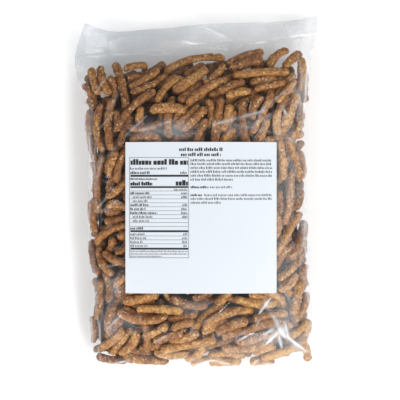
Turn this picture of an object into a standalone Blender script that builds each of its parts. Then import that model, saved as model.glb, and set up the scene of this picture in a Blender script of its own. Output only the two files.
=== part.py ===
# Clear sealed bag of sesame sticks, lying with its labelled face up.
# Metres, +Z up, +X across the bag, +Y towards its header. The origin is on the table, under the bag's middle.
import math

import bmesh
import bpy
import numpy as np

# Bag
BAG_WIDTH = 0.170
BAG_THICKNESS = 0.042
FILM_HALF = 0.0004  # half the thickness of the flat seals and flaps
SIDE_POWER = 2.6  # how square the bag's shoulders are, seen from an end
TOP_RUN = 0.060  # length over which the bag swells from its top seal
BOTTOM_RUN = 0.034  # and from its bottom seal
LUMP = 0.0008  # unevenness of the filling
UNDERSIDE = 1.45  # how much of the underside lies flat
LEAST_CORE = 0.35  # least height of the core above the side folds, as a share of the filling's

# Heights of the side folds above the table, from the bottom flap to the header
FOLD_HEIGHTS = [
    (-0.1275, 0.0040), (-0.1185, 0.0080), (-0.070, 0.0135),
    (0.060, 0.0145), (0.106, 0.0125), (0.1275, 0.0080),
]

# The two side edges, seen from above, as (y, x)
LEFT_EDGE = [
    (-0.1275, -0.0850), (-0.1185, -0.0742), (-0.100, -0.0737), (-0.076, -0.0737), (-0.064, -0.0712),
    (-0.052, -0.0737), (-0.028, -0.0748), (0.007, -0.0744), (0.041, -0.0758), (0.062, -0.0779),
    (0.080, -0.0814), (0.0985, -0.0838), (0.1208, -0.0765),
]
RIGHT_EDGE = [
    (-0.1275, 0.0850), (-0.1167, 0.0846), (-0.101, 0.0821), (-0.083, 0.0807), (-0.059, 0.0786),
    (-0.049, 0.0793), (-0.035, 0.0783), (0.000, 0.0765), (0.034, 0.0762), (0.069, 0.0772),
    (0.086, 0.0786), (0.102, 0.0807), (0.1132, 0.0834), (0.1275, 0.0841),
]

# The header's free edge, as (place across from -1 to 1, y), with the left corner folded back
HEADER_EDGE = [
    (-1.0, 0.1208), (-0.80, 0.1167), (-0.40, 0.1186), (0.15, 0.1219),
    (0.50, 0.1229), (0.75, 0.1243), (1.0, 0.1275),
]
TOP_SEAL_Y = 0.1063  # at the middle of the bag
TOP_SEAL_SLOPE = 0.091
BOTTOM_SEAL_Y = -0.1185
FLAP_EDGE_Y = -0.1275

# Label
LABEL_SIDE = 0.1016
LABEL_CENTRE = (0.0034, -0.0126)
LABEL_THICKNESS = 0.0003
GAP = 0.0003  # between the label and the bag
LABEL_ROUND_OFF = 0.006  # width over which the bag flattens towards the label

# Sesame sticks
STICK_RADIUS = (0.0028, 0.0036)
STICK_LENGTH = (0.014, 0.027, 0.046)  # least, commonest and most
STICK_BEND = 0.14  # most that a stick bows, as a share of its length
STICK_SIDES = 6
STICK_RINGS = ((0, 0), (0.35, 0.86), (0, 1.04))  # tip to middle: (distance in, size), in radii
TIP = 0.35  # how far the tip reaches past the stick's line, in radii
STICK_DEPTH = 0.0056  # how far the core lies below the outer sticks' backs
FILM_CLEARANCE = 0.0004
SEAL_CLEARANCE = 0.006  # between the outermost sticks and the top seal
DEPTHS = (0.0010, 0.0020, 0.0032, 0.0046, 0.0062)  # how deep below the film each round of sticks may lie
TRIES = 50000  # in each round
NESTING = 0.80  # size at which a stick keeps others away
MOST_DROP = 0.0008  # most that a stick lies below where it would touch
SLIDES = 14  # steps in which a stick slides up to its neighbours, each way
SLIDE = 0.0008
MOST_SINK = 0.0002  # most that it may sink with each step
SLOPES = np.linspace(-1.2, 1.2, 25)  # slopes tried for each stick
SEED = 28

# Height map of the heap
CELL = 0.0015
MAP_HALF = (0.096, 0.138)
EDGE_CELLS = 14  # left free round the map

# Grid of the bag's two faces
COLUMNS = 22
ROWS = 31
HEADER_ROWS = 3
FLAP_ROWS = 1
CLOSER_ROWS = 0.35  # how much closer the rows lie at the seals
CLOSER_COLUMNS = 1.35  # how much closer the columns lie at the sides, in radians


def through(stations, at):
    """Smooth curve through the stations, read at the given places."""
    places, values = np.array(stations).T
    slopes = np.gradient(values, places)
    at = np.clip(at, places[0], places[-1])
    left = np.clip(np.searchsorted(places, at) - 1, 0, len(places) - 2)
    width = places[left + 1] - places[left]
    t = (at - places[left]) / width
    return (
        (2 * t**3 - 3 * t**2 + 1) * values[left]
        + (t**3 - 2 * t**2 + t) * width * slopes[left]
        + (3 * t**2 - 2 * t**3) * values[left + 1]
        + (t**3 - t**2) * width * slopes[left + 1]
    )


def across(x, y):
    """Place between the side edges, -1 at the left and 1 at the right."""
    left, right = through(LEFT_EDGE, y), through(RIGHT_EDGE, y)
    return np.clip((2 * x - left - right) / (right - left), -1, 1)


def top_seal(x):
    return TOP_SEAL_Y + TOP_SEAL_SLOPE * x


def end_rise(distance, run):
    """0 at a seal, 1 once the bag is at its full thickness."""
    return np.sin(np.pi / 2 * np.clip(distance / run, 0, 1))


def label_share(x, y):
    """1 under the label, falling to 0 a little way outside it."""
    out_x = np.abs(x - LABEL_CENTRE[0]) - LABEL_SIDE / 2
    out_y = np.abs(y - LABEL_CENTRE[1]) - LABEL_SIDE / 2
    out = np.hypot(np.maximum(out_x, 0), np.maximum(out_y, 0))
    t = np.clip(1 - out / LABEL_ROUND_OFF, 0, 1)
    return t * t * (3 - 2 * t)


def swell(x, y):
    """The filling's share of the bag's full thickness."""
    u = across(x, y)
    sides = (1 - np.abs(u) ** SIDE_POWER) ** (1 / SIDE_POWER)
    return sides * end_rise(top_seal(x) - y, TOP_RUN) * end_rise(y - BOTTOM_SEAL_Y, BOTTOM_RUN)


def fold_height(y):
    return through(FOLD_HEIGHTS, y)


def top_height(x, y):
    """The filled bag's upper face."""
    lumps = LUMP * (np.sin(x / 0.0113 + 1.1) * np.sin(y / 0.0147 + 0.4) + np.sin(x / 0.021 - y / 0.017))
    share = swell(x, y)
    low = fold_height(y)
    return low + (BAG_THICKNESS - 2 * LUMP - low) * share + lumps * share * (1 - label_share(x, y))


def bottom_height(x, y):
    """The lower face: flat on the table, rising to the side folds and seals."""
    u = across(x, y)
    sides = (1 - np.abs(u) ** 4) ** 0.5
    ends = end_rise(top_seal(x) - y, 0.8 * TOP_RUN) * end_rise(y - BOTTOM_SEAL_Y, 0.8 * BOTTOM_RUN)
    return fold_height(y) * (1 - np.minimum(UNDERSIDE * sides * ends, 1))


def header_height(u, s):
    """The header flap, from its seal at s = 0 to its free edge at s = 1."""
    wave = 0.0022 * np.sin(5.1 * u + 0.6) + 0.0012 * np.sin(11.3 * u + 1.9)
    corner = 0.0085 * np.clip(-u - 0.62, 0, 1) / 0.38
    return fold_height(TOP_SEAL_Y) - 0.0035 * s + (wave + corner) * s


def flap_height(u, s):
    """The bottom flap, from its seal at s = 0 to its free edge at s = 1."""
    wave = 0.0011 * np.sin(6.3 * u + 2.2) + 0.0007 * np.sin(14.0 * u)
    return fold_height(BOTTOM_SEAL_Y) - 0.0035 * s + wave * s


def core_height(x, y):
    """The solid filling between the sticks, which comes up flush under the label."""
    top, low = top_height(x, y), fold_height(y)
    sunk = top - STICK_DEPTH * (1 - label_share(x, y))
    return np.maximum(sunk, low + LEAST_CORE * (top - low))


def rolled(height, radius, sign):
    """Where the centre of a ball can roll along the height map, under it (sign -1) or over it (sign 1)."""
    reach = int(math.ceil(radius / CELL))
    centre = sign * height
    for i in range(-reach, reach + 1):
        for j in range(-reach, reach + 1):
            square = radius**2 - (i * i + j * j) * CELL**2
            if square >= 0:
                centre = np.maximum(centre, np.roll(sign * height, (i, j), (0, 1)) + math.sqrt(square))
    return sign * centre


def heap_map():
    """Places of the map's cells, the film above them, and how high and low a stick's middle may lie."""
    xs = np.arange(-MAP_HALF[0], MAP_HALF[0] + CELL / 2, CELL)
    ys = np.arange(-MAP_HALF[1], MAP_HALF[1] + CELL / 2, CELL)
    grid_x, grid_y = np.meshgrid(xs, ys)
    film = top_height(grid_x, grid_y) - FILM_CLEARANCE
    bottom = bottom_height(grid_x, grid_y) + FILM_CLEARANCE
    outside = (
        (np.abs(across(grid_x, grid_y)) >= 1)
        | (grid_y > top_seal(grid_x) - SEAL_CLEARANCE)
        | (grid_y < BOTTOM_SEAL_Y)
    )
    film[outside] = -1
    return xs, ys, film, rolled(film, sum(STICK_RADIUS) / 2, -1), rolled(bottom, STICK_RADIUS[0], 1)


def stick_line(x, y, angle, length, bend):
    """Points about every 3 mm along a stick, seen from above, with each one's distance along it."""
    count = max(5, int(round(length / 0.003)))
    along = np.linspace(-0.5, 0.5, count) * length
    sideways = bend * length * (1 - 4 * (along / length) ** 2) - bend * length * 0.5
    c, s = math.cos(angle), math.sin(angle)
    return x + along * c - sideways * s, y + along * s + sideways * c, along


def cells_near(xs, ys, px, py, radius):
    """The map's cells round each point, and how far a ball of that radius reaches up or down in each."""
    reach = int(math.ceil(radius / CELL))
    steps = np.arange(-reach, reach + 1)
    column = np.rint((px - xs[0]) / CELL).astype(int)[:, None] + np.tile(steps, len(steps))
    row = np.rint((py - ys[0]) / CELL).astype(int)[:, None] + np.repeat(steps, len(steps))
    square = radius**2 - (xs[column] - px[:, None]) ** 2 - (ys[row] - py[:, None]) ** 2
    return row, column, np.sqrt(np.maximum(square, 0)), square > 0


def lay_of(x, y, draw):
    """Which way the sticks tend to lie: along the bag's left side, slanting up to the right elsewhere."""
    tend = 30 + 26 * min(max((y + 0.060) / 0.140, 0), 1)
    tend += 40 * math.exp(-(((x + 0.070) / 0.020) ** 2))
    return math.radians(tend + 36 * draw.standard_normal())


def pressed_up(heap, ceiling, place, stick, depth):
    """A stick pushed up against the film or the sticks above it, as a line of points, or None if too deep."""
    xs, ys, film, highest, lowest = heap
    angle, length, radius, bend, drop = stick
    px, py, along = stick_line(*place, angle, length, bend)
    row, column, cap, near = cells_near(xs, ys, px, py, radius)
    most = np.where(near, ceiling[row, column] - cap, 1).min(1)
    middle = (most[None] - SLOPES[:, None] * along[None]).min(1)
    best = int(np.argmax(middle))
    pz = middle[best] + SLOPES[best] * along - drop
    cell = np.rint((py - ys[0]) / CELL).astype(int), np.rint((px - xs[0]) / CELL).astype(int)
    below = highest[cell] - pz
    if (pz < lowest[cell]).any() or below.mean() > depth or below.max() > depth + radius:
        return None
    return np.stack([px, py, pz], 1)


def tucked_in(heap, ceiling, place, stick, depth):
    """The same stick, then slid sideways and along itself until it sinks, so that the heap packs closely."""
    line = pressed_up(heap, ceiling, place, stick, depth)
    if line is None:
        return None
    for turn in (-math.pi / 2, math.pi):
        step = SLIDE * math.cos(stick[0] + turn), SLIDE * math.sin(stick[0] + turn)
        for _ in range(SLIDES):
            moved = place[0] + step[0], place[1] + step[1]
            slid = pressed_up(heap, ceiling, moved, stick, depth)
            if slid is None or slid[:, 2].mean() < line[:, 2].mean() - MOST_SINK:
                break
            place, line = moved, slid
    return line


def heap_sticks():
    """Sticks put in one by one from the film inwards, the outermost first."""
    draw = np.random.default_rng(SEED)
    xs, ys, film, _, _ = heap = heap_map()
    ceiling = film.copy()
    sticks = []
    for depth in DEPTHS:
        for number in range(TRIES):
            column = draw.integers(EDGE_CELLS, len(xs) - EDGE_CELLS)
            row = draw.integers(EDGE_CELLS, len(ys) - EDGE_CELLS)
            place = xs[column], ys[row]
            angle = lay_of(*place, draw)
            length, radius = draw.triangular(*STICK_LENGTH), draw.uniform(*STICK_RADIUS)
            if number > TRIES / 2:  # shorter ones in what is left
                length = min(length, draw.uniform(STICK_LENGTH[0], STICK_LENGTH[2]))
            bend, drop = STICK_BEND * draw.uniform(-1, 1), MOST_DROP * draw.random() ** 2
            ahead = 0.4 * length * math.cos(angle) / CELL, 0.4 * length * math.sin(angle) / CELL
            ends = [(int(row + k * ahead[1]), int(column + k * ahead[0])) for k in (-1, 0, 1)]
            if any(ceiling[end] < film[end] - depth or film[end] < 0 for end in ends):
                continue
            line = tucked_in(heap, ceiling, place, (angle, length, radius, bend, drop), depth)
            if line is None:
                continue
            rows, columns, cap, near = cells_near(xs, ys, line[:, 0], line[:, 1], NESTING * radius)
            np.minimum.at(ceiling, (rows[near], columns[near]), (line[:, 2, None] - cap)[near])
            sticks.append((line, radius))
    return sticks


def shows(line, radius):
    """True for a stick that stands out of the core somewhere outside the label."""
    x, y, z = line.T
    return bool(((z + 0.4 * radius > core_height(x, y)) & (label_share(x, y) < 0.5)).sum() >= 3)


def collection(name, hidden=False):
    made = bpy.data.collections.new(name)
    made.hide_render = hidden
    bpy.context.scene.collection.children.link(made)
    return made


def material(name, colour, roughness):
    made = bpy.data.materials.new(name)
    made.use_nodes = True
    shader = made.node_tree.nodes["Principled BSDF"]
    shader.inputs["Base Color"].default_value = (*colour, 1)
    shader.inputs["Roughness"].default_value = roughness
    shader.inputs["Metallic"].default_value = 0
    return made


def object_from(name, mesh_maker, into, finish):
    mesh = bpy.data.meshes.new(name)
    cage = bmesh.new()
    mesh_maker(cage)
    cage.normal_update()
    bmesh.ops.recalc_face_normals(cage, faces=cage.faces)
    cage.to_mesh(mesh)
    cage.free()
    mesh.materials.append(finish)
    made = bpy.data.objects.new(name, mesh)
    into.objects.link(made)
    return made


def bag_place(a, b):
    """Point of the plan, with a across from -1 to 1 and b the row: x, y, its part and how far along that."""
    x = a * BAG_WIDTH / 2
    seal, edge = top_seal(x), through(HEADER_EDGE, a)
    body_rows = ROWS - HEADER_ROWS - FLAP_ROWS
    if b < FLAP_ROWS:
        part, s = "flap", 1 - b / FLAP_ROWS
        y = BOTTOM_SEAL_Y + (FLAP_EDGE_Y - BOTTOM_SEAL_Y) * s
    elif b > FLAP_ROWS + body_rows:
        part, s = "header", (b - FLAP_ROWS - body_rows) / HEADER_ROWS
        y = seal + (edge - seal) * s
    else:
        part, s = "body", (b - FLAP_ROWS) / body_rows
        eased = s - CLOSER_ROWS * math.sin(2 * math.pi * s) / (2 * math.pi)
        y = BOTTOM_SEAL_Y + (seal - BOTTOM_SEAL_Y) * eased
    left, right = through(LEFT_EDGE, y), through(RIGHT_EDGE, y)
    return (left + right) / 2 + a * (right - left) / 2, y, part, s


def bag_core(cage):
    """The bag as two grids, one for each face, joined by a thin rim."""
    bmesh.ops.create_grid(cage, x_segments=COLUMNS, y_segments=ROWS, size=1)
    lower = list(cage.verts)
    made = bmesh.ops.extrude_face_region(cage, geom=list(cage.faces), use_keep_orig=True)["geom"]
    upper = [v for v in made if isinstance(v, bmesh.types.BMVert)]
    for vertices, is_top in ((lower, False), (upper, True)):
        for vertex in vertices:
            a = math.sin(vertex.co.x * CLOSER_COLUMNS) / math.sin(CLOSER_COLUMNS)
            x, y, part, s = bag_place(a, (vertex.co.y + 1) / 2 * ROWS)
            if part == "header":
                z = header_height(a, s) + (FILM_HALF if is_top else -FILM_HALF)
            elif part == "flap":
                z = flap_height(a, s) + (FILM_HALF if is_top else -FILM_HALF)
            elif is_top:
                z = max(core_height(x, y), fold_height(y) + FILM_HALF)
            else:
                z = max(bottom_height(x, y) - FILM_HALF, 0)
            vertex.co = (x, y, z)


def stick_solid(cage, line, radius, draw):
    """A blunt-ended stick along its line, with few sides and slightly uneven rings."""
    levels = 2 * len(STICK_RINGS) - 2
    made = bmesh.ops.create_uvsphere(cage, u_segments=STICK_SIDES, v_segments=levels, radius=1)
    spin = draw.uniform(0, 2 * math.pi)
    ahead = line[-1] - line[0]
    half = np.linalg.norm(ahead) / 2
    ahead /= 2 * half
    side = np.cross((0, 0, 1), ahead)
    side /= np.linalg.norm(side)
    up = np.cross(ahead, side)
    uneven = draw.uniform(0.92, 1.08, levels + 1)
    for vertex in made["verts"]:
        level = int(round(math.acos(max(-1, min(1, vertex.co.z))) / math.pi * levels))
        inward, share = STICK_RINGS[min(level, levels - level)]
        out = (half + radius * (TIP - inward)) * np.sign(levels / 2 - level)
        centre = line[int(round((0.5 + 0.5 * np.clip(out / half, -1, 1)) * (len(line) - 1)))]
        beyond = ahead * (out - np.dot(centre - line.mean(0), ahead))
        turn = math.atan2(vertex.co.y, vertex.co.x) + spin
        ring = radius * share * uneven[level]
        vertex.co = centre + beyond + ring * (math.cos(turn) * side + math.sin(turn) * up)


def keep_largest_shell(mesh):
    """Drops closed hollows and loose scraps, leaving the one outer surface."""
    cage = bmesh.new()
    cage.from_mesh(mesh)
    left, shells = set(cage.faces), []
    while left:
        shell, edge = set(), [left.pop()]
        while edge:
            face = edge.pop()
            shell.add(face)
            for beside in {other for line in face.edges for other in line.link_faces}:
                if beside in left:
                    left.discard(beside)
                    edge.append(beside)
        shells.append(shell)
    largest = max(shells, key=len)
    scraps = [face for shell in shells if shell is not largest for face in shell]
    bmesh.ops.delete(cage, geom=scraps, context="FACES")
    cage.to_mesh(mesh)
    cage.free()


def bag(into, finish):
    """The filled bag: its core with the outer sticks fused on."""
    made = object_from("bag", bag_core, into, finish)
    loose = collection("sticks to fuse", hidden=True)
    draw = np.random.default_rng(SEED + 1)
    shown = [stick for stick in heap_sticks() if shows(*stick)]
    for number, (line, radius) in enumerate(shown):
        object_from(f"stick_{number:03d}", lambda cage: stick_solid(cage, line, radius, draw), loose, finish)
    union = made.modifiers.new("fuse the sticks", "BOOLEAN")
    union.operation = "UNION"
    union.operand_type = "COLLECTION"
    union.collection = loose
    union.solver = "MANIFOLD"
    graph = bpy.context.evaluated_depsgraph_get()
    fused = bpy.data.meshes.new_from_object(made.evaluated_get(graph))
    made.modifiers.clear()
    keep_largest_shell(fused)
    made.data = fused
    for stick in list(loose.objects):
        bpy.data.objects.remove(stick)
    bpy.data.collections.remove(loose)
    print(len(shown), "sticks show,", len(fused.polygons), "faces")
    return made


def label_sheet(cage):
    """The label as a flat square laid over the bag's front."""
    bmesh.ops.create_grid(cage, x_segments=14, y_segments=14, size=LABEL_SIDE / 2)
    for vertex in cage.verts:
        x, y = vertex.co.x + LABEL_CENTRE[0], vertex.co.y + LABEL_CENTRE[1]
        vertex.co = (x, y, top_height(x, y) + GAP)


def label(into, finish):
    made = object_from("label", label_sheet, into, finish)
    thickness = made.modifiers.new("paper", "SOLIDIFY")
    thickness.thickness = LABEL_THICKNESS
    thickness.offset = 1
    return made


def main():
    for old in list(bpy.data.objects):
        bpy.data.objects.remove(old)
    whole = collection("bag of sesame sticks")
    bag(whole, material("film and sticks", (0.42, 0.22, 0.09), 0.45))
    label(whole, material("label paper", (0.86, 0.90, 0.96), 0.55))


main()
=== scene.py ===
# Clear sealed bag of sesame sticks: the film, the sticks inside it and the printed label
import math

import bmesh
import bpy
import numpy as np
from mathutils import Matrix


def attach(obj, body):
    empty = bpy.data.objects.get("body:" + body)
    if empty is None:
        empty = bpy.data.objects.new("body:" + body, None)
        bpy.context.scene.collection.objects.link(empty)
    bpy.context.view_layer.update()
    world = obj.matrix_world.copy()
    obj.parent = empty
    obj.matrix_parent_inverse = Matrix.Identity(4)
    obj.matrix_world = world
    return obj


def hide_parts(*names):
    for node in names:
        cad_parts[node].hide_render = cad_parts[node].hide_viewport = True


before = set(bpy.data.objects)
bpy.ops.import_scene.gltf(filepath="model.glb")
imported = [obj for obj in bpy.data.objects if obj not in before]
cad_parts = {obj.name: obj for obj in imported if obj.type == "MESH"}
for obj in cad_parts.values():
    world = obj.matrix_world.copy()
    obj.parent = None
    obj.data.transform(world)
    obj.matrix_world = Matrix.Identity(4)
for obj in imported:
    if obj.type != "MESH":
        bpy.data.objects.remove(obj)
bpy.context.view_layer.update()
print("frame loaded", sorted(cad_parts))

mm = 0.001

# Shape of the filled bag, metres, repeated from the part

bagShape = {
    "width": 0.170,
    "thickness": 0.042,
    "sidePower": 2.6,  # how square the shoulders are, seen from an end
    "topRun": 0.060,  # length over which the bag swells from the top seal
    "bottomRun": 0.034,
    "lump": 0.0008,
    "topSealY": 0.1063,
    "topSealSlope": 0.091,
    "bottomSealY": -0.1185,
    "flapEdgeY": -0.1275,
    "foldHeights": [
        (-0.1275, 0.0040), (-0.1185, 0.0080), (-0.070, 0.0135),
        (0.060, 0.0145), (0.106, 0.0125), (0.1275, 0.0080),
    ],
    "leftEdge": [
        (-0.1275, -0.0850), (-0.1185, -0.0742), (-0.100, -0.0737), (-0.076, -0.0737), (-0.064, -0.0712),
        (-0.052, -0.0737), (-0.028, -0.0748), (0.007, -0.0744), (0.041, -0.0758), (0.062, -0.0779),
        (0.080, -0.0814), (0.0985, -0.0838), (0.1208, -0.0765),
    ],
    "rightEdge": [
        (-0.1275, 0.0850), (-0.1167, 0.0846), (-0.101, 0.0821), (-0.083, 0.0807), (-0.059, 0.0786),
        (-0.049, 0.0793), (-0.035, 0.0783), (0.000, 0.0765), (0.034, 0.0762), (0.069, 0.0772),
        (0.086, 0.0786), (0.102, 0.0807), (0.1132, 0.0834), (0.1275, 0.0841),
    ],
    "headerEdge": [
        (-1.0, 0.1208), (-0.80, 0.1167), (-0.40, 0.1186), (0.15, 0.1219),
        (0.50, 0.1229), (0.75, 0.1243), (1.0, 0.1275),
    ],
}
labelShape = {
    "side": 0.1016,
    "centre": (0.0034, -0.0126),
    "top": 0.0006,  # the label's upper face above the film
    "roundOff": 0.006,
}


def through(stations, at):
    places, values = np.array(stations).T
    slopes = np.gradient(values, places)
    at = np.clip(at, places[0], places[-1])
    left = np.clip(np.searchsorted(places, at) - 1, 0, len(places) - 2)
    width = places[left + 1] - places[left]
    t = (at - places[left]) / width
    return (
        (2 * t**3 - 3 * t**2 + 1) * values[left]
        + (t**3 - 2 * t**2 + t) * width * slopes[left]
        + (3 * t**2 - 2 * t**3) * values[left + 1]
        + (t**3 - t**2) * width * slopes[left + 1]
    )


def smoothStep(value, low, high):
    t = np.clip((value - low) / (high - low), 0, 1)
    return t * t * (3 - 2 * t)


def sideEdges(y):
    return through(bagShape["leftEdge"], y), through(bagShape["rightEdge"], y)


def across(x, y):
    left, right = sideEdges(y)
    return np.clip((2 * x - left - right) / (right - left), -1, 1)


def topSeal(x):
    return bagShape["topSealY"] + bagShape["topSealSlope"] * x


def endRise(distance, run):
    return np.sin(np.pi / 2 * np.clip(distance / run, 0, 1))


def labelShare(x, y):
    outX = np.abs(x - labelShape["centre"][0]) - labelShape["side"] / 2
    outY = np.abs(y - labelShape["centre"][1]) - labelShape["side"] / 2
    out = np.hypot(np.maximum(outX, 0), np.maximum(outY, 0))
    t = np.clip(1 - out / labelShape["roundOff"], 0, 1)
    return t * t * (3 - 2 * t)


def foldHeight(y):
    return through(bagShape["foldHeights"], y)


def topHeight(x, y):
    power, lump = bagShape["sidePower"], bagShape["lump"]
    lumps = lump * (np.sin(x / 0.0113 + 1.1) * np.sin(y / 0.0147 + 0.4) + np.sin(x / 0.021 - y / 0.017))
    share = (1 - np.abs(across(x, y)) ** power) ** (1 / power)
    share = share * endRise(topSeal(x) - y, bagShape["topRun"])
    share = share * endRise(y - bagShape["bottomSealY"], bagShape["bottomRun"])
    low = foldHeight(y)
    return low + (bagShape["thickness"] - 2 * lump - low) * share + lumps * share * (1 - labelShare(x, y))


def bottomHeight(x, y):
    sides = (1 - np.abs(across(x, y)) ** 4) ** 0.5
    ends = endRise(topSeal(x) - y, 0.8 * bagShape["topRun"])
    ends = ends * endRise(y - bagShape["bottomSealY"], 0.8 * bagShape["bottomRun"])
    return foldHeight(y) * (1 - np.minimum(1.45 * sides * ends, 1))


def headerHeight(u, s):
    wave = 0.0022 * np.sin(5.1 * u + 0.6) + 0.0012 * np.sin(11.3 * u + 1.9)
    corner = 0.0085 * np.clip(-u - 0.62, 0, 1) / 0.38
    return foldHeight(bagShape["topSealY"]) - 0.0035 * s + (wave + corner) * s


def flapHeight(u, s):
    wave = 0.0011 * np.sin(6.3 * u + 2.2) + 0.0007 * np.sin(14.0 * u)
    return foldHeight(bagShape["bottomSealY"]) - 0.0035 * s + wave * s


# Small helpers for meshes and materials

def meshPiece(name, points, faces, finish, smooth=True):
    mesh = bpy.data.meshes.new(name)
    mesh.from_pydata([tuple(p) for p in points], [], [tuple(f) for f in faces])
    mesh.update()
    mesh.materials.append(finish)
    if smooth:
        mesh.shade_smooth()
    piece = bpy.data.objects.new(name, mesh)
    bpy.context.scene.collection.objects.link(piece)
    return piece


def setAttribute(piece, name, values):
    layer = piece.data.attributes.new(name, "FLOAT", "POINT")
    layer.data.foreach_set("value", np.asarray(values, dtype=np.float32))


def newMaterial(name):
    finish = bpy.data.materials.new(name)
    finish.use_nodes = True
    nodes = finish.node_tree.nodes
    return finish, nodes, nodes["Principled BSDF"]


def addNode(nodes, kind, inputs=None, **settings):
    node = nodes.new(kind)
    for key, value in settings.items():
        setattr(node, key, value)
    for key, value in (inputs or {}).items():
        node.inputs[key].default_value = value
    return node


def join(source, output, target, socket):
    source.id_data.links.new(source.outputs[output], target.inputs[socket])


def noise(nodes, scale, detail, **more):
    # a noise texture that is fixed to the piece
    node = addNode(nodes, "ShaderNodeTexNoise", {"Scale": scale, "Detail": detail, **more})
    join(addNode(nodes, "ShaderNodeTexCoord"), "Object", node, "Vector")
    return node


def scaled(nodes, source, output, times, plus=0.0):
    node = addNode(nodes, "ShaderNodeMath", {1: times, 2: plus}, operation="MULTIPLY_ADD")
    join(source, output, node, 0)
    return node


def colourRamp(nodes, stops):
    node = nodes.new("ShaderNodeValToRGB")
    ramp = node.color_ramp
    while len(ramp.elements) < len(stops):
        ramp.elements.new(0.5)
    for element, (place, colour) in zip(ramp.elements, stops):
        element.position = place
        element.color = (*colour, 1)
    return node


# The heap of sticks: laid by the part's rule from the film inwards, then deeper, then up from the underside

heap = {
    "radius": (0.0028, 0.0036),
    "length": (0.014, 0.027, 0.046),  # least, commonest and most
    "bend": 0.14,  # most that a stick bows, as a share of its length
    "filmClearance": 0.0004,
    "sealClearance": 0.006,
    "depths": (0.0010, 0.0020, 0.0032, 0.0046, 0.0062),  # rounds shared with the part
    "tries": 50000,  # in each of them
    "deeper": (0.0085, 0.0115, 0.0150, 0.0190),
    "underside": (0.0015, 0.0035, 0.0060),
    "fewerTries": 14000,
    "nesting": 0.80,  # size at which a stick keeps others away
    "mostDrop": 0.0008,
    "slides": 14,  # steps in which a stick slides up to its neighbours, each way
    "slide": 0.0008,
    "mostSink": 0.0002,
    "slopes": np.linspace(-1.2, 1.2, 25),
    "seed": 28,
    "cell": 0.0015,
    "mapHalf": (0.096, 0.138),
    "edgeCells": 14,
    "ends": 0.4,  # where a stick's ends are first tried, as a share of its length from its middle
    "lay": {  # degrees from the x axis
        "foot": 30,
        "rise": 26,  # more towards the top of the bag
        "riseFrom": -0.060,
        "riseOver": 0.140,
        "left": 40,  # more beside the left edge
        "leftAt": -0.070,
        "leftWidth": 0.020,
        "sway": 36,
    },
}


def rolled(height, radius, sign):
    # where the centre of a ball can roll under the height map (sign -1) or over it (sign 1)
    reach = int(math.ceil(radius / heap["cell"]))
    centre = sign * height
    for i in range(-reach, reach + 1):
        for j in range(-reach, reach + 1):
            square = radius**2 - (i * i + j * j) * heap["cell"]**2
            if square >= 0:
                centre = np.maximum(centre, np.roll(sign * height, (i, j), (0, 1)) + math.sqrt(square))
    return sign * centre


def heapMap():
    xs = np.arange(-heap["mapHalf"][0], heap["mapHalf"][0] + heap["cell"] / 2, heap["cell"])
    ys = np.arange(-heap["mapHalf"][1], heap["mapHalf"][1] + heap["cell"] / 2, heap["cell"])
    gridX, gridY = np.meshgrid(xs, ys)
    film = topHeight(gridX, gridY) - heap["filmClearance"]
    bottom = bottomHeight(gridX, gridY) + heap["filmClearance"]
    outside = (
        (np.abs(across(gridX, gridY)) >= 1)
        | (gridY > topSeal(gridX) - heap["sealClearance"])
        | (gridY < bagShape["bottomSealY"])
    )
    film[outside] = -1
    return xs, ys, film, rolled(film, sum(heap["radius"]) / 2, -1), rolled(bottom, heap["radius"][0], 1)


def stickLine(x, y, angle, length, bend):
    count = max(5, int(round(length / 0.003)))
    along = np.linspace(-0.5, 0.5, count) * length
    sideways = bend * length * (1 - 4 * (along / length) ** 2) - bend * length * 0.5
    c, s = math.cos(angle), math.sin(angle)
    return x + along * c - sideways * s, y + along * s + sideways * c, along


def cellsNear(xs, ys, px, py, radius):
    reach = int(math.ceil(radius / heap["cell"]))
    steps = np.arange(-reach, reach + 1)
    column = np.rint((px - xs[0]) / heap["cell"]).astype(int)[:, None] + np.tile(steps, len(steps))
    row = np.rint((py - ys[0]) / heap["cell"]).astype(int)[:, None] + np.repeat(steps, len(steps))
    square = radius**2 - (xs[column] - px[:, None]) ** 2 - (ys[row] - py[:, None]) ** 2
    return row, column, np.sqrt(np.maximum(square, 0)), square > 0


def layOf(x, y, draw):
    # which way the sticks tend to lie: along the left side, slanting up to the right elsewhere
    lay = heap["lay"]
    tend = lay["foot"] + lay["rise"] * min(max((y - lay["riseFrom"]) / lay["riseOver"], 0), 1)
    tend += lay["left"] * math.exp(-(((x - lay["leftAt"]) / lay["leftWidth"]) ** 2))
    return math.radians(tend + lay["sway"] * draw.standard_normal())


def pressedUp(maps, ceiling, place, stick, depth):
    # a stick pushed up against the film or the sticks above it, or None where it would lie too deep
    xs, ys, film, highest, lowest = maps
    angle, length, radius, bend, drop = stick
    px, py, along = stickLine(*place, angle, length, bend)
    row, column, cap, near = cellsNear(xs, ys, px, py, radius)
    most = np.where(near, ceiling[row, column] - cap, 1).min(1)
    middle = (most[None] - heap["slopes"][:, None] * along[None]).min(1)
    best = int(np.argmax(middle))
    pz = middle[best] + heap["slopes"][best] * along - drop
    cell = np.rint((py - ys[0]) / heap["cell"]).astype(int), np.rint((px - xs[0]) / heap["cell"]).astype(int)
    below = highest[cell] - pz
    if (pz < lowest[cell]).any() or below.mean() > depth or below.max() > depth + radius:
        return None
    return np.stack([px, py, pz], 1)


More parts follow.
